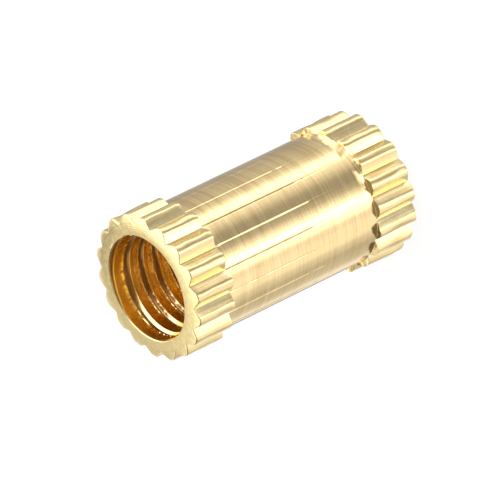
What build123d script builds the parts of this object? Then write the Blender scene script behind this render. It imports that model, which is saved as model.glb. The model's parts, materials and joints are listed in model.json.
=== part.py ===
"""Knurled brass threaded insert for moulding into plastic, standing on its end.

It is one turned piece. Grooved bar stock is turned down between two collars, so the
grooves stay whole on the collars and only their bottoms still show, as fine lines, along
the barrel. A tapped hole runs right through. The fine thread itself is left out here, and
the hole has the diameter of the tapping drill, which is where the thread's crests end.

The frame has +Z up along the hole and its origin at the centre of the lower end.
Units are millimetres.
"""

import os
from math import asin, hypot, radians, sqrt, tan

from build123d import *

# Tapped hole and its countersunk mouths: the thread is shallow, so its drill is wide
thread_major_diameter = 3.0
thread_depth = 0.07
mouth_clearance = 0.04
mouth_angle = 90.0

# Lengths
insert_length = 8.0
upper_collar_length = 1.3
lower_collar_length = 1.36

# Grooved bar stock: the wall is what the thread and the grooves leave between them
wall_thickness = 0.38
tooth_count = 18
groove_depth = 0.22
groove_angle = 104.0
crown_corner_radius = 0.18
corner_room_share = 0.9

# Barrel between the collars, turned a little shallower than the grooves
groove_trace_depth = 0.02

# Shallow bevel round the rim of each end face
rim_bevel_width = 0.34
rim_bevel_depth = 0.07

# How far every cutting shape runs past the metal
overrun = 0.5

# Sizes that follow from those above
thread_major_radius = thread_major_diameter / 2
drill_radius = thread_major_radius - thread_depth
mouth_radius = thread_major_radius + mouth_clearance
mouth_depth = (mouth_radius - drill_radius) / tan(radians(mouth_angle / 2))
root_radius = thread_major_radius + wall_thickness
barrel_radius = root_radius + groove_trace_depth
tip_radius = root_radius + groove_depth
tooth_pitch_angle = 360.0 / tooth_count
groove_slope = tan(radians(groove_angle / 2))

# Where a groove's flank meets the bar's surface, and what that leaves for half a crown
flank_run = (
    sqrt(tip_radius**2 * (1 + groove_slope**2) - (root_radius * groove_slope) ** 2) - root_radius
) / (1 + groove_slope**2)
half_groove_turn = asin(flank_run * groove_slope / tip_radius)
half_crown = tip_radius * (radians(tooth_pitch_angle / 2) - half_groove_turn)

# The rounding of a crown's two corners stays within the crown and within the groove's flank
corner_turn = radians(90 - groove_angle / 2) + half_groove_turn
corner_reach = corner_room_share * min(half_crown, hypot(flank_run, flank_run * groove_slope))
corner_radius = min(crown_corner_radius, corner_reach / tan(corner_turn / 2))


def distance_from_axis(vertex):
    """How far a corner of the bar's section lies from the insert's axis."""
    return hypot(vertex.X, vertex.Y)


# One V groove, with its bottom on the X axis, running out past the bar's surface
with BuildSketch() as groove:
    with BuildLine():
        groove_end = tip_radius + overrun
        groove_half_end = (groove_end - root_radius) * groove_slope
        Polyline(
            (root_radius, 0),
            (groove_end, groove_half_end),
            (groove_end, -groove_half_end),
            close=True,
        )
    make_face()

with BuildPart() as insert:
    # Grooved bar: a round section with the groove repeated round it and its crowns rounded
    with BuildSketch() as bar_section:
        Circle(tip_radius)
        with PolarLocations(0, tooth_count):
            add(groove.sketch, mode=Mode.SUBTRACT)
        crown_corners = bar_section.vertices().group_by(distance_from_axis)[-1]
        fillet(crown_corners, radius=corner_radius)
    extrude(amount=insert_length)

    # Barrel: the bar turned down between the two collars
    with BuildSketch(Plane.XZ):
        with Locations((barrel_radius, lower_collar_length)):
            Rectangle(
                groove_depth + overrun,
                insert_length - lower_collar_length - upper_collar_length,
                align=(Align.MIN, Align.MIN),
            )
    revolve(axis=Axis.Z, mode=Mode.SUBTRACT)

    # Rim bevels: a shallow cone turned round the rim of each end face
    bevel_start = tip_radius - rim_bevel_width
    bevel_end = tip_radius + overrun
    bevel_drop = (bevel_end - bevel_start) * rim_bevel_depth / rim_bevel_width
    for face_height, inwards in ((insert_length, -1), (0, 1)):
        with BuildSketch(Plane.XZ):
            with BuildLine():
                Polyline(
                    (bevel_start, face_height),
                    (bevel_end, face_height),
                    (bevel_end, face_height + inwards * bevel_drop),
                    close=True,
                )
            make_face()
        revolve(axis=Axis.Z, mode=Mode.SUBTRACT)

    # Tapped hole: drilled right through and countersunk at both mouths
    with BuildSketch(Plane.XZ):
        with BuildLine():
            Polyline(
                (0, 0),
                (mouth_radius, 0),
                (drill_radius, mouth_depth),
                (drill_radius, insert_length - mouth_depth),
                (mouth_radius, insert_length),
                (0, insert_length),
                close=True,
            )
        make_face()
    revolve(axis=Axis.Z, mode=Mode.SUBTRACT)

insert.part.label = "threaded_insert"

os.makedirs("parts", exist_ok=True)
export_step(insert.part, "parts/threaded_insert.step")
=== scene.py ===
# %% [markdown]
# # A brass threaded insert
#
# A threaded insert gives plastic a metal thread. It is one piece of brass: bar stock with
# grooves along it, turned down in the middle, drilled and tapped. The two grooved collars
# keep the plastic from turning or pulling off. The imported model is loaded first, because
# every piece made here has to sit in its frame, in metres, with +Z up along the hole.

# %% The frame
import json
import math

import bmesh
import bpy
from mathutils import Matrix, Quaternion, Vector


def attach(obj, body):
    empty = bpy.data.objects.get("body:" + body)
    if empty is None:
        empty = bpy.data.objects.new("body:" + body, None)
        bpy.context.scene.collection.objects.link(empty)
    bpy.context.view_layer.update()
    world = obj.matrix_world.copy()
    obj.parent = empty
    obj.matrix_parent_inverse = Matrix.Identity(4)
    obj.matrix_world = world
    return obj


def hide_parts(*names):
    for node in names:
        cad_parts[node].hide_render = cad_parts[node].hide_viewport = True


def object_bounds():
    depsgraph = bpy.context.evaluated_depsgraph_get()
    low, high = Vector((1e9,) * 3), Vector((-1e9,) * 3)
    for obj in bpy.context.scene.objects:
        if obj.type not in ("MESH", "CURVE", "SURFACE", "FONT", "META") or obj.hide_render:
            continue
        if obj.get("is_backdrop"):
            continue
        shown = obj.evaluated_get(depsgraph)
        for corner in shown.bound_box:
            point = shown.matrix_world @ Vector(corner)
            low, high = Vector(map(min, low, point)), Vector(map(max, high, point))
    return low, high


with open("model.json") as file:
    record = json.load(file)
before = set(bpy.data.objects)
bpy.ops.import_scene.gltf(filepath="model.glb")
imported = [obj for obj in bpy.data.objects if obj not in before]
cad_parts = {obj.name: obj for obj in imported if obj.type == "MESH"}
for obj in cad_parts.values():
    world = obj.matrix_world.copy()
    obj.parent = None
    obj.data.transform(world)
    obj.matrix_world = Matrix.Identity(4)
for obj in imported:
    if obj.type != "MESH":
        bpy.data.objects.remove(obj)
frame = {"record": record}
cad_low, cad_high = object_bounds()
mm = 0.001
print("box of the solid, mm:", [round(side / mm, 3) for side in cad_high - cad_low])

# %% [markdown]
# ## Sizes
#
# The solid gives the length and the size over the teeth. The thread's crest radius is in the
# record, as the size of the tapped hole. Most other sizes are the ones the solid was drawn
# with, so the dressed insert has the same form as the plain one. Only the hole's mouths are
# finer here: each has a small rounded edge, and behind it a steep lead-in for the screw.

# %% Sizes of the insert
mounts = {mount["name"]: mount for mount in frame["record"]["mounts"]}
insert_length = cad_high.z - cad_low.z
tip_radius = cad_high.y
crest_radius = mounts["thread"]["dims"]["r_mm"] * mm
thread_root_radius = 1.525 * mm
thread_pitch = 0.5 * mm
mouth_radius = 1.54 * mm
mouth_depth = 0.04 * mm
mouth_edge = 0.025 * mm
lead_in = 0.6 * mm
groove_bottom_radius = 1.88 * mm
barrel_radius = 1.90 * mm
upper_collar_length = 1.3 * mm
upper_shoulder = insert_length - upper_collar_length
lower_shoulder = 1.36 * mm
rim_drop = 0.07 * mm
tooth_count = 18
tooth_turn = math.tau / tooth_count
print("length", round(insert_length / mm, 2), "over the teeth", round(2 * tip_radius / mm, 2))

# %% [markdown]
# ## Small helpers for node trees
#
# Both the finishes and the shapes below are node trees. A few helpers keep the script short:
# one adds a node and fills its inputs, and the others add the nodes that are used most. A
# value may be a plain number or another node's output, and an output gets linked.

# %% Helpers for nodes
def fill(tree, socket, value):
    """Sets a socket to a plain value, or links it to another node's output."""
    if isinstance(value, bpy.types.NodeSocket):
        tree.links.new(value, socket)
    else:
        socket.default_value = value


def add_node(tree, kind, inputs=None, **settings):
    """Adds a node, sets its properties, then fills the inputs named or numbered."""
    made = tree.nodes.new(kind)
    for name, value in settings.items():
        setattr(made, name, value)
    for key, value in (inputs or {}).items():
        fill(tree, made.inputs[key], value)
    return made


def calc(tree, operation, *values):
    """A Math node's result."""
    inputs = dict(enumerate(values))
    return add_node(tree, "ShaderNodeMath", inputs, operation=operation).outputs[0]


def vector_calc(tree, operation, *values):
    """A Vector Math node's result: a number for a length or a dot product, or else a vector."""
    inputs = dict(enumerate(values))
    made = add_node(tree, "ShaderNodeVectorMath", inputs, operation=operation)
    return made.outputs["Value" if operation in ("LENGTH", "DOT_PRODUCT") else "Vector"]


def combine(tree, **parts):
    """A vector from its parts X, Y and Z; a part left out is 0."""
    return add_node(tree, "ShaderNodeCombineXYZ", parts).outputs[0]


def spread(tree, value, low, high, to_low, to_high, soft=False):
    """Maps a value from one range to another, clamped, and eased at both ends if soft."""
    inputs = {0: value, 1: low, 2: high, 3: to_low, 4: to_high}
    kind = "SMOOTHSTEP" if soft else "LINEAR"
    return add_node(tree, "ShaderNodeMapRange", inputs, interpolation_type=kind).outputs[0]


def blend(tree, share, first, second, kind="FLOAT"):
    """Mixes two numbers, or two colours if the kind is RGBA."""
    inputs = {"Factor": share, "A": first, "B": second}
    return add_node(tree, "ShaderNodeMix", inputs, data_type=kind).outputs["Result"]


# %% [markdown]
# ## Brass
#
# All of the insert is the same pale brass, so one function lays down what its finishes
# share: a metal with a slightly uneven tone and gloss. Each finish then adds the marks of the
# tool that made it. Marks are a height, from 0 to 1, that drives the bump, the tone and the
# roughness together, because a scratch is seen by all three. Noise seldom comes near 0 or 1,
# so each range of marks given below is the part of it that shows.

# %% The brass that every finish shares
bright_brass = (0.95, 0.73, 0.38, 1)
pale_brass = (0.94, 0.79, 0.45, 1)
deep_brass = (0.84, 0.62, 0.29, 1)
smoked_brass = (0.70, 0.50, 0.24, 1)
noise_roughness = 0.55
gloss_marks = (0.3, 0.7)
tone_marks = (0.35, 0.65)


def new_finish(name):
    """An empty material with its tree and Object coordinates."""
    finish = bpy.data.materials.new(name)
    finish.use_nodes = True
    tree = finish.node_tree
    tree.nodes.clear()
    place = add_node(tree, "ShaderNodeTexCoord").outputs["Object"]
    return finish, tree, place


def stretched_noise(tree, place, scale, detail=3.0):
    """Noise drawn out along the axes with a small scale; scale is lumps per metre."""
    mapped = add_node(tree, "ShaderNodeMapping", {"Vector": place, "Scale": scale}).outputs[0]
    inputs = {"Vector": mapped, "Scale": 1.0, "Detail": detail, "Roughness": noise_roughness}
    return add_node(tree, "ShaderNodeTexNoise", inputs).outputs["Fac"]


def mixed_marks(tree, main, other, other_share):
    """Two kinds of marks in one height."""
    main_part = calc(tree, "MULTIPLY", main, 1 - other_share)
    return calc(tree, "MULTIPLY_ADD", other, other_share, main_part)


def distance_from_axis(tree, place):
    """How far a point lies from the insert's axis."""
    return vector_calc(tree, "LENGTH", vector_calc(tree, "MULTIPLY", place, (1, 1, 0)))


def reach_towards(tree, place, turn):
    """How far a point lies towards one side of the insert, given as a turn round it."""
    return vector_calc(tree, "DOT_PRODUCT", place, (math.cos(turn), math.sin(turn), 0))


def finish_brass(tree, marks, tone, colours, gloss_range, mark_height, metal_share=1.0):
    """Ends a finish: tone picks between two colours, marks drive the roughness and the bump.

    The last input is the metallic share; below 1 the rest is diffuse, as for painted shade.
    """
    bump_inputs = {"Strength": 1.0, "Distance": mark_height, "Height": marks}
    bump = add_node(tree, "ShaderNodeBump", bump_inputs)
    shader = add_node(
        tree,
        "ShaderNodeBsdfPrincipled",
        {
            "Base Color": blend(tree, tone, *colours, kind="RGBA"),
            "Metallic": metal_share,
            "Roughness": spread(tree, marks, *gloss_marks, *gloss_range),
            "Normal": bump.outputs[0],
        },
    )
    add_node(tree, "ShaderNodeOutputMaterial", {"Surface": shader.outputs[0]})


# %% [markdown]
# ### The turned barrel
#
# The barrel was cut by a lathe tool, which leaves fine rings round it. Noise that is very
# short along Z and long around gives rings that never quite repeat. A second, coarser noise
# makes some rings stand out, as a chip under the tool does, and a third leaves dull smears
# that start and stop. On one side wider, darker bands are painted in: painted shade that
# darkens that side of the barrel.

# %% Turned barrel
coarse_share = 0.4
ring_marks, ring_tones = (0.38, 0.62), (0.6, 1.0)
smear_marks, smear_dulls = (0.54, 0.7), 0.35
# Painted shade: darker bands kept to one side of the barrel, their depth, side and reach.
painted_band_marks, painted_band_dulls = (0.45, 0.6), 0.45
painted_band_turn = math.radians(-16)
painted_band_from, painted_band_full = 0.6 * barrel_radius, 0.9 * barrel_radius
turned, tree, place = new_finish("turned_barrel")
fine_rings = stretched_noise(tree, place, (450, 450, 26000), detail=4.0)
coarse_rings = stretched_noise(tree, place, (250, 250, 6000), detail=2.0)
rings = mixed_marks(tree, fine_rings, coarse_rings, coarse_share)
smears = stretched_noise(tree, place, (900, 900, 13000))
dull = spread(tree, smears, *smear_marks, 0.0, smear_dulls)
# Painted shade: wider, darker bands that darken one side of the barrel only.
painted_band_noise = stretched_noise(tree, place, (90, 90, 4200), detail=1.5)
painted_bands = spread(tree, painted_band_noise, *painted_band_marks, 0, 1)
towards_painted_bands = reach_towards(tree, place, painted_band_turn)
painted_band_side = spread(tree, towards_painted_bands, painted_band_from, painted_band_full, 0, painted_band_dulls)
dull = calc(tree, "MULTIPLY_ADD", painted_bands, painted_band_side, dull)
tone = calc(tree, "SUBTRACT", spread(tree, rings, *ring_marks, *ring_tones), dull)
colours = (smoked_brass, bright_brass)
finish_brass(tree, rings, tone, colours, gloss_range=(0.1, 0.2), mark_height=0.0028 * mm)
print("made", turned.name)

# %% [markdown]
# ### The teeth
#
# The grooves were drawn along the bar, so the marks on the teeth run lengthways. The metal
# down in a groove is painted a little paler: painted light in the grooves.

# %% Knurled teeth
dent_share = 0.25
streak_tones = (0.0, 0.8)
# Painted light: how much paler the grooves are painted, and how far up from their bottom.
painted_light_tone = 0.6
painted_light_top = groove_bottom_radius + 0.12 * mm
knurled, tree, place = new_finish("knurled_teeth")
streaks = stretched_noise(tree, place, (15000, 15000, 420))
dents = stretched_noise(tree, place, (5000, 5000, 3500))
marks = mixed_marks(tree, streaks, dents, dent_share)
from_axis = distance_from_axis(tree, place)
# Painted light: the groove bottoms are painted paler.
painted_groove_light = spread(tree, from_axis, groove_bottom_radius, painted_light_top, painted_light_tone, 0.0)
tone = calc(tree, "ADD", painted_groove_light, spread(tree, marks, *tone_marks, *streak_tones))
colours = (deep_brass, pale_brass)
finish_brass(tree, marks, tone, colours, gloss_range=(0.18, 0.3), mark_height=0.006 * mm)
print("made", knurled.name)

# %% [markdown]
# ### The end faces
#
# Each end was faced off on the lathe, so its marks are circles round the hole. Noise read
# along the distance from the axis gives them. Small dents from handling lie over them.

# %% Faced ends
faced_brass = (0.94, 0.77, 0.37, 1)
dent_share = 0.6
faced_tones = (0.2, 1.0)
faced, tree, place = new_finish("faced_end")
outwards = combine(tree, X=distance_from_axis(tree, place))
circles = stretched_noise(tree, outwards, (16000, 1, 1))
dents = stretched_noise(tree, place, (6000, 6000, 6000))
marks = mixed_marks(tree, circles, dents, dent_share)
tone = spread(tree, marks, *tone_marks, *faced_tones)
colours = (deep_brass, faced_brass)
finish_brass(tree, marks, tone, colours, gloss_range=(0.12, 0.24), mark_height=0.006 * mm)
print("made", faced.name)

# %% [markdown]
# ### The tapped thread
#
# A tap cuts on the slant, and its marks follow the thread. The slant is so small that rings
# round the hole read the same. The tap rubs the hole smooth, so these marks are the faintest.
# The drilled crests have a deeper tone and less gloss, and light that bounces down the hole
# gets browner on them. The groove is freshly cut, so it is the paler brass, but on one side
# of the hole a brown is painted into it as painted shade, which turns over half of the metal
# there into diffuse brown.

# %% Tapped thread
drilled_brass = (0.97, 0.715, 0.22, 1)
# Painted shade: the brown painted into the grooves on one side of the hole, the share of the metal
# it makes diffuse, and where it lies.
painted_shade_brass = (0.42, 0.2, 0.03, 1)
painted_shade_cover = 0.6
painted_shade_turn = math.radians(64)
painted_shade_from, painted_shade_full = 0.62 * thread_root_radius, 0.92 * crest_radius
tear_share = 0.4
crest_edge, groove_edge = 0.002 * mm, 0.012 * mm
crest_roughness, groove_roughness = 0.2, 0.14
tap_mark_height = 0.00006 * mm
tapped, tree, place = new_finish("tapped_thread")
cut_lines = stretched_noise(tree, place, (400, 400, 14000), detail=2.0)
tears = stretched_noise(tree, place, (2500, 2500, 4000), detail=2.0)
marks = mixed_marks(tree, cut_lines, tears, tear_share)

# Painted brown shade lies on one side of the hole, and stops short of the mouths' edges.
height = add_node(tree, "ShaderNodeSeparateXYZ", {0: place}).outputs["Z"]
middle = insert_length / 2
inside = calc(tree, "COMPARE", height, middle, middle - mouth_depth)
towards_painted_shade = reach_towards(tree, place, painted_shade_turn)
painted_shade = spread(tree, towards_painted_shade, painted_shade_from, painted_shade_full, 0, 1, soft=True)
painted_shade = calc(tree, "MULTIPLY", painted_shade, inside)
groove_colour = blend(tree, painted_shade, pale_brass, painted_shade_brass, kind="RGBA")

# A point is on a crest, or on the lead-in, if it is as far from the axis as they are there.
from_end = calc(tree, "MINIMUM", height, calc(tree, "SUBTRACT", insert_length, height))
lead_in_end, lead_in_radius = mouth_depth + lead_in, mouth_radius - mouth_edge
crest_here = spread(tree, from_end, mouth_depth, lead_in_end, lead_in_radius, crest_radius)
off_crest = calc(tree, "SUBTRACT", distance_from_axis(tree, place), crest_here)
off_crest = calc(tree, "ABSOLUTE", off_crest)
tone = spread(tree, off_crest, crest_edge, groove_edge, 0, 1)
# Painted shade: where the brown lies in the grooves, less of the surface is metal.
metal_share = calc(tree, "MULTIPLY_ADD", calc(tree, "MULTIPLY", painted_shade, tone), -painted_shade_cover, 1.0)
gloss = spread(tree, tone, 0, 1, crest_roughness, groove_roughness)
colours = (drilled_brass, groove_colour)
finish_brass(tree, marks, tone, colours, (gloss, gloss), tap_mark_height, metal_share)
print("made", tapped.name)

# %% [markdown]
# ## One tooth
#
# The insert's outside repeats eighteen times, so it is drawn once: a strip that runs from the
# bottom of one groove to the bottom of the next. Across, the strip follows the bar's
# section: up a flank, round the crown and down again. Along, it follows the lathe's path:
# from the hole's mouth over the end face, which falls away to its rim, down the collar, in at
# the shoulder, along the barrel, and the same again at the other end.

# %% The section across one tooth
half_groove = math.radians(52)
corner_radius = 0.18 * mm
corner_steps = 4
trace_margin = 0.012 * mm
groove_bottom = Vector((groove_bottom_radius, 0))
flank = Vector((math.cos(half_groove), math.sin(half_groove)))


def along_flank(start, radius):
    """Where a line from start, running the flank's way, is that far from the axis."""
    reach = start.dot(flank)
    return start + flank * (math.sqrt(reach**2 + radius**2 - start.length_squared) - reach)


# The corner's circle touches the flank and the crown from inside.
away = Vector((-flank.y, flank.x))
corner_centre = along_flank(groove_bottom + away * corner_radius, tip_radius - corner_radius)
touch_flank = corner_centre - away * corner_radius
touch_crown = corner_centre.normalized() * tip_radius
first = math.atan2(*reversed(touch_flank - corner_centre))
last = math.atan2(*reversed(touch_crown - corner_centre))
half_section = [
    groove_bottom,
    along_flank(groove_bottom, barrel_radius),
    along_flank(groove_bottom, barrel_radius + trace_margin),
    (groove_bottom + touch_flank) / 2,
]
for step in range(corner_steps + 1):
    turn = first + (last - first) * step / corner_steps
    half_section.append(corner_centre + Vector((math.cos(turn), math.sin(turn))) * corner_radius)

# Each column of the strip is an angle round the insert and a distance from its axis.
half_columns = [(math.atan2(point.y, point.x), point.length) for point in half_section]
columns = half_columns + [(tooth_turn / 2, tip_radius)]
columns += [(tooth_turn - turn, radius) for turn, radius in reversed(half_columns)]
print("columns in a tooth:", len(columns) - 1)

# %% The path from a mouth to the barrel
edge_break = 0.03 * mm
burr_break = 0.012 * mm
tool_nose = 0.03 * mm
lip_shares = (0.7, 1, 1, 0.9)
lip_reach = 0.18 * mm
lip_rag = 0.6
end_face, tooth_side, barrel_wall = 0, 1, 2
face_shares = (0, 0.12, 0.25, 0.4, 0.55, 0.7, 0.85, 1)
side_shares = (0.15, 0.3, 0.45, 0.6, 0.75, 0.9)
round_steps = 3


def rounded(before, corner, after):
    """Points that round a corner between two points."""
    points = []
    for step in range(round_steps + 1):
        done = step / round_steps
        left = 1 - done
        points.append(before * left**2 + corner * (2 * done * left) + after * done**2)
    return points


def collar_path(tooth_radius, wall_radius, end_height, inwards, shoulder):
    """Points from the mouth to the barrel: (distance from axis and height, finish, burr, lip)."""
    def on_face(radius):
        """A point of the end face, which falls away to its rim."""
        fall = rim_drop * ((radius - mouth_radius) / (tip_radius - mouth_radius)) ** 2
        return Vector((radius, end_height + inwards * fall))

    # Over the end face, round its rim and along the tooth.
    face_width = tooth_radius - edge_break - mouth_radius
    path = [(on_face(mouth_radius + face_width * share), end_face, 0, 0) for share in face_shares]
    rim = on_face(tooth_radius)
    edge = rounded(path[-1][0], rim, rim + Vector((0, inwards * edge_break)))
    path += [(edge[1], end_face, 0, 0), (edge[2], tooth_side, 0, 0), (edge[3], tooth_side, 0, 0)]
    for share in side_shares:
        path.append((Vector((tooth_radius, rim.y + (shoulder - rim.y) * share)), tooth_side, 0, 0))

    # Round the tooth's end, where the burr is.
    step_height = max(tooth_radius - wall_radius, 0)
    size = min(burr_break, step_height / 3)
    corner = Vector((tooth_radius, shoulder))
    edge = rounded(corner - Vector((0, inwards * size)), corner, corner - Vector((size, 0)))
    edge_burr = inwards * min(step_height / burr_break, 1)
    path += [(point, tooth_side, edge_burr, 0) for point in edge]

    # Round the corner at the barrel, where the lower collar has its lip.
    size = min(tool_nose, step_height / 2)
    corner = Vector((wall_radius, shoulder))
    inner = rounded(corner + Vector((size, 0)), corner, corner + Vector((0, inwards * tool_nose)))
    lips = lip_shares if shoulder == lower_shoulder else (0,) * len(inner)
    path += [(point, tooth_side, 0, lip) for point, lip in zip(inner, lips)]
    path.append((corner + Vector((0, inwards * lip_reach)), barrel_wall, inwards * lip_rag, 0))
    return path


# %% The whole path along the insert
trace_fade_start = 4.0 * mm
trace_fade_end = 1.9 * mm
barrel_rows = 54


def strip_path(tooth_radius):
    """The whole path of one column, from the upper mouth to the lower."""
    wall = min(tooth_radius, barrel_radius)
    path = collar_path(tooth_radius, wall, insert_length, -1, upper_shoulder)
    foot = collar_path(tooth_radius, barrel_radius, 0, 1, lower_shoulder)
    top, bottom = path[-1][0].y, foot[-1][0].y
    for row in range(1, barrel_rows):
        height = top + (bottom - top) * row / barrel_rows
        fade = min(max((trace_fade_start - height) / (trace_fade_start - trace_fade_end), 0), 1)
        path.append((Vector((wall + (barrel_radius - wall) * fade, height)), barrel_wall, 0, 0))
    return path + list(reversed(foot))


paths = [strip_path(radius) for turn, radius in columns]
row_count = len(paths[0])
same_for_all = len({len(path) for path in paths}) == 1
print("rows in a tooth:", row_count, "the same for all:", same_for_all)

# %% [markdown]
# The strip keeps a few numbers at each of its points: how much burr, lip, trace or wear there
# may be. The node tree that follows reads them by name. At the mouth the columns stand evenly,
# so that the thread's columns meet them there, and over the face they move to their places.

# %% The strip as a mesh
worn_from = 1.95 * mm
verts, faces, face_finish = [], [], []
point_values = {"burr": [], "lip": [], "trace": [], "wear": []}
even_turn = tooth_turn / (len(columns) - 1)
for column, path in enumerate(paths):
    for row, (point, finish, burr, lip) in enumerate(path):
        from_mouth = min(row, row_count - 1 - row)
        share = face_shares[from_mouth] if from_mouth < len(face_shares) else 1
        turn = column * even_turn * (1 - share) + columns[column][0] * share
        verts.append((point.x * math.cos(turn), point.x * math.sin(turn), point.y))
        point_values["burr"].append(burr)
        point_values["lip"].append(lip)
        depth_left = max(barrel_radius - point.x, 0) if finish == barrel_wall else 0
        point_values["trace"].append(depth_left / (barrel_radius - groove_bottom_radius))
        point_values["wear"].append(max(point.x - worn_from, 0) / (tip_radius - worn_from))
for column in range(len(columns) - 1):
    for row in range(row_count - 1):
        corner = column * row_count + row
        faces.append((corner, corner + 1, corner + row_count + 1, corner + row_count))
        upper_half = row < row_count / 2
        face_finish.append(paths[0][row + 1 if upper_half else row][1])
strip = bpy.data.meshes.new("tooth_strip")
strip.from_pydata(verts, [], faces)
strip.materials.append(turned)
strip.attributes.new("finish", "INT", "FACE").data.foreach_set("value", face_finish)
for name, values in point_values.items():
    strip.attributes.new(name, "FLOAT", "POINT").data.foreach_set("value", values)
piece = bpy.data.objects.new("insert_body", strip)
bpy.context.collection.objects.link(piece)
print("strip:", len(verts), "points,", len(faces), "faces")

# %% [markdown]
# ## The teeth round the bar
#
# Geometry Nodes set the strip down once for each tooth and weld the seams. The tree's sizes
# are inputs with names, so they can be changed on the modifier without opening the tree.

# %% Helpers for shape trees
def new_shape_tree(name, sizes):
    """A Geometry Nodes tree with a geometry in and out, and one named input per size."""
    tree = bpy.data.node_groups.new(name, "GeometryNodeTree")
    sides = tree.interface
    sides.new_socket("Geometry", in_out="OUTPUT", socket_type="NodeSocketGeometry")
    sides.new_socket("Geometry", in_out="INPUT", socket_type="NodeSocketGeometry")
    for label, value in sizes.items():
        kind = "NodeSocketInt" if isinstance(value, int) else "NodeSocketFloat"
        sides.new_socket(label, in_out="INPUT", socket_type=kind)
    group_in = tree.nodes.new("NodeGroupInput")
    group_out = tree.nodes.new("NodeGroupOutput")
    return tree, group_in.outputs, group_out.inputs["Geometry"]


def add_modifier(target, tree, sizes):
    """Puts a tree on an object and sets its inputs by their identifiers."""
    modifier = target.modifiers.new(tree.name, "NODES")
    modifier.node_group = tree
    for item in tree.interface.items_tree:
        if item.in_out == "INPUT" and item.name in sizes:
            modifier[item.identifier] = sizes[item.name]


def named_value(tree, name, kind="FLOAT"):
    """Reads an attribute of the mesh by its name."""
    reader = add_node(tree, "GeometryNodeInputNamedAttribute", {"Name": name}, data_type=kind)
    return reader.outputs[0]


def point_place(tree):
    """Where each point of the mesh lies."""
    return add_node(tree, "GeometryNodeInputPosition").outputs[0]


def lumps(tree, place, scale, detail=2.0):
    """Noise at a place; scale is lumps per unit of length."""
    inputs = {"Vector": place, "Scale": scale, "Detail": detail}
    return add_node(tree, "ShaderNodeTexNoise", inputs).outputs["Fac"]


def set_finish(tree, geometry, finish, number=None):
    """A Set Material node, for all faces or for those with that finish number."""
    inputs = {"Geometry": geometry, "Material": finish}
    if number is not None:
        both = {"A": named_value(tree, "finish", "INT"), "B": number}
        settings = {"data_type": "INT", "operation": "EQUAL"}
        inputs["Selection"] = add_node(tree, "FunctionNodeCompare", both, **settings).outputs[0]
    return add_node(tree, "GeometryNodeSetMaterial", inputs).outputs[0]


def weld(tree, geometry, gap):
    """Merges the points that lie within the gap of each other."""
    inputs = {"Geometry": geometry, "Distance": gap}
    return add_node(tree, "GeometryNodeMergeByDistance", inputs).outputs[0]


# %% Tree: teeth round the bar
weld_gap = 0.001 * mm
ring_sizes = {
    "Teeth": tooth_count,
    "Tooth Turn": tooth_turn,
    "Burr Height": 0.09 * mm,
    "Lip Height": 0.11 * mm,
    "Lip Turn": math.radians(-48),
    "Trace Fill": 0.012 * mm,
    "Wear": 0.03 * mm,
    "Weld Gap": weld_gap,
}
tree, given, result = new_shape_tree("teeth_round_the_bar", ring_sizes)
spots = add_node(tree, "GeometryNodePoints", {"Count": given["Teeth"]})
order = add_node(tree, "GeometryNodeInputIndex").outputs[0]
turned_by = combine(tree, Z=calc(tree, "MULTIPLY", order, given["Tooth Turn"]))
rotation = add_node(tree, "FunctionNodeEulerToRotation", {0: turned_by})
teeth = add_node(
    tree,
    "GeometryNodeInstanceOnPoints",
    {"Points": spots.outputs[0], "Instance": given["Geometry"], "Rotation": rotation.outputs[0]},
)
whole = add_node(tree, "GeometryNodeRealizeInstances", {"Geometry": teeth.outputs[0]})
welded = weld(tree, whole.outputs[0], given["Weld Gap"])
print("teeth set down:", tooth_count)

# %% [markdown]
# Turning the barrel left a little burr at each shoulder, where the tool pushed metal over the
# ends of the teeth. Noise pulls those edges out unevenly, so no two teeth end alike. At the
# lower collar the tool also left a ragged lip of metal in the corner, on one side. Along the
# barrel it smeared the groove bottoms half shut. Last, the tips of the teeth are worn a
# little, never outwards.

# %% Tree: burrs, lip and wear
lip_from, lip_full = 0.8, 0.93
lip_lean = 0.5
where = point_place(tree)
outwards = vector_calc(tree, "NORMALIZE", vector_calc(tree, "MULTIPLY", where, (1, 1, 0)))


def uneven(name, size, scale, low, high, least=0.0):
    """An attribute times a size, more in some places than in others, from least to all of it."""
    share = spread(tree, lumps(tree, where, scale), low, high, least, 1.0)
    return calc(tree, "MULTIPLY", calc(tree, "MULTIPLY", share, size), named_value(tree, name))


# The lip lies to one side only: its middle is where the outward direction is the lip's own.
lip_x = calc(tree, "COSINE", given["Lip Turn"])
lip_y = calc(tree, "SINE", given["Lip Turn"])
facing = vector_calc(tree, "DOT_PRODUCT", outwards, combine(tree, X=lip_x, Y=lip_y))
lip_side = spread(tree, facing, lip_from, lip_full, 0.0, 1.0)
lip = uneven("lip", given["Lip Height"], scale=2600, low=0.38, high=0.6, least=0.55)
lip = calc(tree, "MULTIPLY", lip, lip_side)
burr = uneven("burr", given["Burr Height"], scale=1900, low=0.45, high=0.75)
fill_in = uneven("trace", given["Trace Fill"], scale=5000, low=0.38, high=0.62, least=0.5)
worn = uneven("wear", given["Wear"], scale=2300, low=0.45, high=0.72)
out_by = calc(tree, "SUBTRACT", calc(tree, "ADD", lip, fill_in), worn)
along_by = calc(tree, "MULTIPLY_ADD", lip, lip_lean, burr)
scaled = {0: outwards, "Scale": out_by}
moved_out = add_node(tree, "ShaderNodeVectorMath", scaled, operation="SCALE").outputs[0]
moved = vector_calc(tree, "ADD", moved_out, combine(tree, Z=along_by))
uneven_bar = add_node(tree, "GeometryNodeSetPosition", {"Geometry": welded, "Offset": moved})
shape = uneven_bar.outputs[0]
for number, finish in ((end_face, faced), (tooth_side, knurled), (barrel_wall, turned)):
    shape = set_finish(tree, shape, finish, number)
tree.links.new(shape, result)
add_modifier(piece, tree, ring_sizes)
print("tree", tree.name, "has", len(tree.nodes), "nodes")

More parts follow.
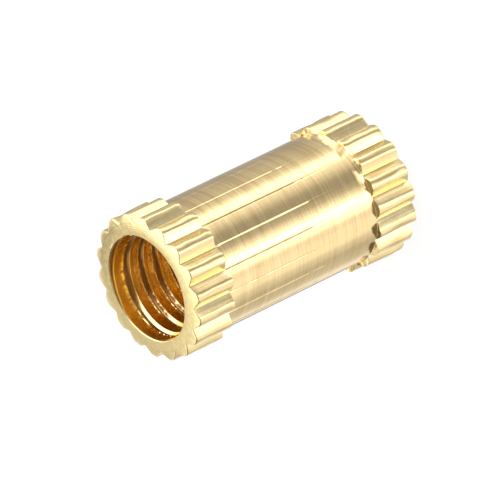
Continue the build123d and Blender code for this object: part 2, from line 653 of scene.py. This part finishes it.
# %% [markdown]
# ## The thread
#
# The thread is a wall that winds round the hole. A flat grid becomes that wall by a rule: one
# side of the grid goes once round the hole, and the other goes along it. Going round, each
# row also climbs by one pitch, so the rows follow the thread like the tap did. A curve gathers
# the rows where the thread's profile bends. At both ends a few level rows make the mouth's
# rounded edge.

# %% Tree: the thread's rows
mouth_rows = 6
row_places = (0, 0.285, 0.305, 0.4, 0.42, 0.58, 0.6, 0.695, 0.715, 0.755)
row_nudge = 0.0001
spare_turns = 2
thread_sizes = {
    "Columns": tooth_count * (len(columns) - 1),
    "Rows a Turn": len(row_places),
    "Turns": math.ceil(insert_length / thread_pitch) + spare_turns,
    "Mouth Rows": mouth_rows,
    "Pitch": thread_pitch,
    "Crest Radius": crest_radius,
    "Root Radius": thread_root_radius,
    "Groove Width": 0.2 * mm,
    "Start": 0.225,
    "Torn Edge": 0.02 * mm,
    "Length": insert_length,
    "Mouth Radius": mouth_radius,
    "Mouth Depth": mouth_depth,
    "Mouth Edge": mouth_edge,
    "Lead-in": lead_in,
    "Weld Gap": weld_gap,
}
tree, given, result = new_shape_tree("thread_in_the_hole", thread_sizes)
wound_rows = calc(tree, "MULTIPLY", given["Rows a Turn"], given["Turns"])
all_rows = calc(tree, "MULTIPLY_ADD", given["Mouth Rows"], 2.0, wound_rows)
grid_inputs = {
    "Size X": 1.0,
    "Size Y": 1.0,
    "Vertices X": calc(tree, "ADD", given["Columns"], 1.0),
    "Vertices Y": calc(tree, "ADD", all_rows, 1.0),
}
sheet = add_node(tree, "GeometryNodeMeshGrid", grid_inputs)

# The grid is one unit wide about the origin, so half a unit more counts from its edge.
spot = add_node(tree, "ShaderNodeSeparateXYZ", {0: point_place(tree)})
around = calc(tree, "ADD", spot.outputs["X"], 0.5)
upwards = calc(tree, "ADD", spot.outputs["Y"], 0.5)
row = calc(tree, "ROUND", calc(tree, "MULTIPLY", upwards, all_rows))

# Height of a wound row: whole turns, plus the place that the curve gives within one turn.
wound_row = calc(tree, "SUBTRACT", row, given["Mouth Rows"])
turn_count = calc(tree, "DIVIDE", wound_row, given["Rows a Turn"])
turn_count = calc(tree, "ADD", turn_count, row_nudge)
gather = add_node(tree, "ShaderNodeFloatCurve", {"Value": calc(tree, "FRACT", turn_count)})
bends = gather.mapping.curves[0].points
for number, share in enumerate(row_places[1:], start=1):
    bends.new(number / len(row_places), share)
for bend in bends:
    bend.handle_type = "VECTOR"
gather.mapping.update()
wound = calc(tree, "ADD", calc(tree, "FLOOR", turn_count), gather.outputs[0])
wound = calc(tree, "SUBTRACT", calc(tree, "ADD", wound, around), float(spare_turns))
wound = calc(tree, "ADD", wound, given["Start"])
wound_height = calc(tree, "MULTIPLY", wound, given["Pitch"])
top_of_thread = calc(tree, "SUBTRACT", given["Length"], given["Mouth Depth"])
wound_height = calc(tree, "MINIMUM", wound_height, top_of_thread)
wound_height = calc(tree, "MAXIMUM", wound_height, given["Mouth Depth"])

# The mouth rows go on from there to the end faces, closer together towards the rim.
quarter_turn = math.pi / 2
lower_share = calc(tree, "MINIMUM", calc(tree, "DIVIDE", row, given["Mouth Rows"]), 1.0)
past_wound = calc(tree, "SUBTRACT", wound_row, wound_rows)
upper_share = calc(tree, "MAXIMUM", calc(tree, "DIVIDE", past_wound, given["Mouth Rows"]), 0.0)
lower_drop = calc(tree, "COSINE", calc(tree, "MULTIPLY", lower_share, quarter_turn))
upper_rise = calc(tree, "SINE", calc(tree, "MULTIPLY", upper_share, quarter_turn))
mouth_shares = calc(tree, "SUBTRACT", upper_rise, lower_drop)
height = calc(tree, "MULTIPLY_ADD", mouth_shares, given["Mouth Depth"], wound_height)
print("turns of the thread:", thread_sizes["Turns"], "rows in each:", len(row_places))

# %% [markdown]
# The distance from the axis depends on the place within one pitch: wide crest, flank, root,
# flank. Near an end the mouth is wider than the crests, so the wider of the two counts. The
# tap tore one edge of the groove here and there, which noise gives back.

# %% Tree: the thread's profile
half_thread_angle = math.radians(30)
torn_edge_place, torn_edge_half_width = 0.705, 0.02
tear_scale, tear_detail = 14.0, 3.0
tear_low, tear_high = 0.4, 0.58
winding = calc(tree, "SUBTRACT", calc(tree, "DIVIDE", height, given["Pitch"]), around)
within = calc(tree, "FRACT", calc(tree, "SUBTRACT", winding, given["Start"]))
off_middle = calc(tree, "ABSOLUTE", calc(tree, "SUBTRACT", within, 0.5))
from_groove = calc(tree, "MULTIPLY", off_middle, given["Pitch"])
half_width = calc(tree, "MULTIPLY", given["Groove Width"], 0.5)
into_groove = calc(tree, "SUBTRACT", half_width, from_groove)
groove_depth = calc(tree, "SUBTRACT", given["Root Radius"], given["Crest Radius"])
cut = calc(tree, "MULTIPLY", into_groove, 1 / math.tan(half_thread_angle))
cut = calc(tree, "MINIMUM", calc(tree, "MAXIMUM", cut, 0.0), groove_depth)
wall = calc(tree, "ADD", given["Crest Radius"], cut)

# The mouth has a rounded edge, and from there the lead-in narrows to the crests.
from_end = calc(tree, "MINIMUM", height, calc(tree, "SUBTRACT", given["Length"], height))
past_mouth = calc(tree, "MINIMUM", calc(tree, "DIVIDE", from_end, given["Mouth Depth"]), 1.0)
edge_round = calc(tree, "MULTIPLY", past_mouth, calc(tree, "SUBTRACT", 2.0, past_mouth))
edge_drop = calc(tree, "MULTIPLY", edge_round, given["Mouth Edge"])
lead_in_end = calc(tree, "ADD", given["Mouth Depth"], given["Lead-in"])
past_lead_in = spread(tree, from_end, given["Mouth Depth"], lead_in_end, 0, 1)
lead_in_radius = calc(tree, "SUBTRACT", given["Mouth Radius"], given["Mouth Edge"])
taper = calc(tree, "SUBTRACT", lead_in_radius, given["Crest Radius"])
mouth = calc(tree, "SUBTRACT", given["Mouth Radius"], edge_drop)
mouth = calc(tree, "SUBTRACT", mouth, calc(tree, "MULTIPLY", past_lead_in, taper))
wall = calc(tree, "MAXIMUM", wall, mouth)

# The torn edge is read along the thread, one level of noise for each turn.
turn = calc(tree, "MULTIPLY", around, math.tau)
turn_x, turn_y = calc(tree, "COSINE", turn), calc(tree, "SINE", turn)
ring_place = combine(tree, X=turn_x, Y=turn_y, Z=calc(tree, "FLOOR", winding))
tear = lumps(tree, ring_place, tear_scale, tear_detail)
tear = spread(tree, tear, tear_low, tear_high, 0.0, 1.0)
at_edge = calc(tree, "COMPARE", within, torn_edge_place, torn_edge_half_width)
torn = calc(tree, "MULTIPLY", calc(tree, "MULTIPLY", tear, at_edge), past_mouth)
wall = calc(tree, "SUBTRACT", wall, calc(tree, "MULTIPLY", torn, given["Torn Edge"]))
print("tree", tree.name, "has", len(tree.nodes), "nodes so far")

# %% Tree: the wall round the hole
wall_x, wall_y = calc(tree, "MULTIPLY", wall, turn_x), calc(tree, "MULTIPLY", wall, turn_y)
wall_place = combine(tree, X=wall_x, Y=wall_y, Z=height)
wrap_inputs = {"Geometry": sheet.outputs[0], "Position": wall_place}
wrapped = add_node(tree, "GeometryNodeSetPosition", wrap_inputs)
facing_in = add_node(tree, "GeometryNodeFlipFaces", {"Mesh": wrapped.outputs[0]})
thread = set_finish(tree, facing_in.outputs[0], tapped)
joined = add_node(tree, "GeometryNodeJoinGeometry")
for part in (given["Geometry"], thread):
    tree.links.new(part, joined.inputs[0])
real = add_node(tree, "GeometryNodeRealizeInstances", {"Geometry": joined.outputs[0]})
tree.links.new(weld(tree, real.outputs[0], given["Weld Gap"]), result)
add_modifier(piece, tree, thread_sizes)
print("tree", tree.name, "has", len(tree.nodes), "nodes")

# %% [markdown]
# ## One closed mesh
#
# The two trees run as modifiers. Their result becomes a plain mesh, so that the file can be
# exported, and the modifiers come off. Edges sharper than the rounded ones stay sharp.

# %% The insert as a plain mesh
sharpest_smooth_edge = math.radians(32)
bpy.context.view_layer.update()
evaluated = piece.evaluated_get(bpy.context.evaluated_depsgraph_get())
body_mesh = bpy.data.meshes.new_from_object(evaluated)
body_mesh.name = "insert_body"
piece.modifiers.clear()
piece.data = body_mesh
empty_slots = [slot for slot, finish in enumerate(body_mesh.materials) if finish is None]
for slot in reversed(empty_slots):
    body_mesh.materials.pop(index=slot)
bm = bmesh.new()
bm.from_mesh(body_mesh)
bmesh.ops.dissolve_degenerate(bm, dist=weld_gap / 2, edges=bm.edges)
open_edges = [edge for edge in bm.edges if not edge.is_manifold]
bmesh.ops.recalc_face_normals(bm, faces=bm.faces)
bm.to_mesh(body_mesh)
volume = bm.calc_volume()
triangles = sum(len(face.verts) - 2 for face in bm.faces)
bm.free()
body_mesh.shade_smooth()
body_mesh.set_sharp_from_angle(angle=sharpest_smooth_edge)
print("triangles", triangles, "open edges", len(open_edges), "volume mm3", round(volume / mm**3, 2))
face_counts = {finish.name: 0 for finish in body_mesh.materials}
for face in body_mesh.polygons:
    face_counts[body_mesh.materials[face.material_index].name] += 1
print("faces in each finish", face_counts)

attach(piece, "root")
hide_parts("threaded_insert")

# %% [markdown]
# ## The white tent
#
# Bright metal is a mirror, so what it mirrors is most of its look. In the photograph the
# insert lies in a white tent with two strip lamps, a soft box over it and a darker gap where
# the camera stands. The world here is that tent. Round the insert its brightness changes with
# the bearing, measured from the camera, once for the lower walls and once for the upper. Round
# patches on the upper walls are the soft box, two small lamps, a gap and a fold of cloth.

# %% Levels of the tent
camera_azimuth = 4.2
camera_elevation = 34.387
tent_full = 3.0
lower_walls = (
    (-180, 0.6),
    (-150, 0.44),
    (-92, 0.66),
    (-78, 0.95),
    (-64, 2.6),
    (-50, 1.2),
    (-38, 0.78),
    (-27, 0.4),
    (-14, 0.38),
    (-4, 0.5),
    (8, 1.1),
    (20, 3.0),
    (34, 1.9),
    (46, 0.98),
    (56, 1.15),
    (74, 1.2),
    (90, 0.78),
    (102, 0.58),
    (122, 0.66),
    (148, 1.08),
    (166, 0.42),
)
upper_walls = (
    (-180, 0.95),
    (-150, 0.95),
    (-105, 1.9),
    (-70, 1.5),
    (-30, 0.55),
    (0, 0.4),
    (60, 0.3),
    (100, 0.14),
    (130, 0.22),
    (142, 0.6),
    (152, 1.1),
    (168, 0.95),
)
upper_from, upper_full = math.radians(-14), math.radians(6)
strip_slant = 0.8

# Each patch: its level, bearing and height, the radius that is full, and the one where it ends.
patches = {
    "gap behind": (0.45, -174, 26, 3, 12),
    "fold behind": (0.7, 172, 22, 6, 14),
    "roof lamp": (1.3, 103, 64, 11, 17),
    "rim lamp": (1.45, 160, 58, 9, 18),
    "soft box": (2.2, -125, 58, 27, 37),
}
print("tent has", len(lower_walls), "levels below and", len(upper_walls), "above")


# %% Helpers for the tent
def wall_levels(tree, share_round, levels):
    """A ramp of brightness round the insert, from (bearing in degrees, level) pairs."""
    ramp = add_node(tree, "ShaderNodeValToRGB", {"Fac": share_round})
    ramp.color_ramp.interpolation = "EASE"
    stops = ramp.color_ramp.elements
    while len(stops) > 1:
        stops.remove(stops[-1])
    stops[0].position = 0
    for bearing_deg, level in levels:
        share = bearing_deg / 360 + 0.5
        stop = stops.new(share) if share else stops[0]
        stop.color = (level / tent_full,) * 3 + (1,)
    return calc(tree, "MULTIPLY", ramp.outputs["Color"], tent_full)


def round_patch(tree, towards, *angles):
    """1 within a round patch of the tent, 0 outside it, with a soft edge."""
    patch_bearing, patch_height, full, end = (math.radians(angle) for angle in angles)
    level_reach = math.cos(patch_height)
    middle = (
        math.cos(patch_bearing) * level_reach,
        -math.sin(patch_bearing) * level_reach,
        math.sin(patch_height),
    )
    nearness = vector_calc(tree, "DOT_PRODUCT", towards, middle)
    return spread(tree, nearness, math.cos(end), math.cos(full), 0, 1, soft=True)


# %% [markdown]
# The strip lamps hang at a slant, so that the fine rings on the barrel break their edges. The
# camera itself, and anything seen through glass, sees plain white.

# %% World
world = bpy.data.worlds.new("white_tent")
bpy.context.scene.world = world
world.use_nodes = True
tree = world.node_tree
tree.nodes.clear()
direction = add_node(tree, "ShaderNodeTexCoord").outputs["Generated"]
camera_turn = (0, 0, math.radians(90 - camera_azimuth))
mapping_inputs = {"Vector": direction, "Rotation": camera_turn}
towards = add_node(tree, "ShaderNodeMapping", mapping_inputs).outputs[0]
axes = add_node(tree, "ShaderNodeSeparateXYZ", {0: towards})
bearing = calc(tree, "ARCTAN2", axes.outputs["Y"], axes.outputs["X"])
share_round = calc(tree, "MULTIPLY_ADD", bearing, -1 / math.tau, 0.5)
elevation = calc(tree, "ARCSINE", axes.outputs["Z"])
above_view = calc(tree, "ADD", elevation, math.radians(camera_elevation))
slant = calc(tree, "MULTIPLY", above_view, strip_slant / math.tau)
slanted_round = calc(tree, "FRACT", calc(tree, "ADD", share_round, slant))
low_level = wall_levels(tree, slanted_round, lower_walls)
high_level = wall_levels(tree, share_round, upper_walls)
for patch_level, *angles in patches.values():
    in_patch = round_patch(tree, towards, *angles)
    high_level = blend(tree, in_patch, high_level, patch_level)
is_high = spread(tree, elevation, upper_from, upper_full, 0, 1, soft=True)
tent_level = blend(tree, is_high, low_level, high_level)
rays = add_node(tree, "ShaderNodeLightPath").outputs
sees_white = calc(tree, "MAXIMUM", rays["Is Camera Ray"], rays["Is Transmission Ray"])
seen_level = blend(tree, sees_white, tent_level, 1.0)
sky = add_node(tree, "ShaderNodeBackground", {"Color": (1, 1, 1, 1), "Strength": seen_level})
add_node(tree, "ShaderNodeOutputWorld", {"Surface": sky.outputs[0]})
print("world", world.name, "has", len(tree.nodes), "nodes")

# %% [markdown]
# ## The floor
#
# The insert stands on a pale floor. The photograph shows no floor line and next to no shadow,
# so the floor glows white for the camera and only a small part of it is lit paint, which
# takes the soft shadow. In the photograph the insert lies on its side and mirrors the tent
# and not what it lies on. So for mirrored rays, and for the light that goes with them, the
# floor is clear, and the metal shows the white tent there.

# %% Floor
half_floor = 100 * mm
glow_level, paint_level = 0.88, 0.2
corners = [(-1, -1), (1, -1), (1, 1), (-1, 1)]
floor_verts = [(half_floor * x, half_floor * y, 0) for x, y in corners]
floor_mesh = bpy.data.meshes.new("floor")
floor_mesh.from_pydata(floor_verts, [], [(0, 1, 2, 3)])
floor = bpy.data.objects.new("floor", floor_mesh)
bpy.context.collection.objects.link(floor)
floor_paint, tree, _ = new_finish("floor_paint")
glow = add_node(tree, "ShaderNodeEmission", {"Color": (1, 1, 1, 1), "Strength": glow_level})
paint = add_node(tree, "ShaderNodeBsdfDiffuse", {"Color": (paint_level,) * 3 + (1,)})
both = add_node(tree, "ShaderNodeAddShader", {0: glow.outputs[0], 1: paint.outputs[0]})
clear = add_node(tree, "ShaderNodeBsdfTransparent")
rays = add_node(tree, "ShaderNodeLightPath").outputs
passes = calc(tree, "MAXIMUM", rays["Is Glossy Ray"], rays["Is Shadow Ray"])
either = {0: passes, 1: both.outputs[0], 2: clear.outputs[0]}
shown = add_node(tree, "ShaderNodeMixShader", either)
add_node(tree, "ShaderNodeOutputMaterial", {"Surface": shown.outputs[0]})
floor_mesh.materials.append(floor_paint)
floor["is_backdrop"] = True
print("floor is", round(2 * half_floor / mm), "mm wide")

# %% [markdown]
# ## The camera
#
# The insert stands on its end here, but the photograph shows it lying, seen from above its
# near end. So the camera looks down at the upper end and is rolled until the insert leans as
# it does in the photograph. A long lens keeps the two collars nearly the same size.

# %% Camera
lean_in_picture = 25.975
camera_distance = 200 * mm
camera_lens = 533.5
clip_factor = 100
picture_offset = (0.2035 * mm, 0.4153 * mm)
mirror_bounces = 8
azimuth, height_angle = math.radians(camera_azimuth), math.radians(camera_elevation)
back = Vector(
    (
        math.sin(azimuth) * math.cos(height_angle),
        -math.cos(azimuth) * math.cos(height_angle),
        math.sin(height_angle),
    )
)
level = back.to_track_quat("Z", "Y")
rolled = level @ Quaternion((0, 0, 1), -math.radians(90 + lean_in_picture))
camera_data = bpy.data.cameras.new("camera")
camera_data.lens = camera_lens
camera_data.sensor_width = 36
camera_data.clip_start = camera_distance / clip_factor
camera_data.clip_end = camera_distance * clip_factor
camera = bpy.data.objects.new("camera", camera_data)
bpy.context.collection.objects.link(camera)
centre = Vector((0, 0, insert_length / 2))
aim = centre - rolled @ Vector((*picture_offset, 0))
camera.location = aim + back * camera_distance
camera.rotation_mode = "QUATERNION"
camera.rotation_quaternion = rolled
scene = bpy.context.scene
scene.camera = camera
scene.view_settings.view_transform = "Standard"
scene.cycles.glossy_bounces = mirror_bounces
print("camera at, mm:", [round(value / mm, 1) for value in camera.location])

# %% [markdown]
# ## Both boxes
#
# The box of the solid and the box of the dressed insert are printed, one after the other.
# The dressed insert may not outgrow the solid.

# %% Sizes and finish
low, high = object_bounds()
for label, box in (("solid", (cad_low, cad_high)), ("dressed", (low, high))):
    print(label, "box, mm:", [[round(side / mm, 4) for side in corner] for corner in box])
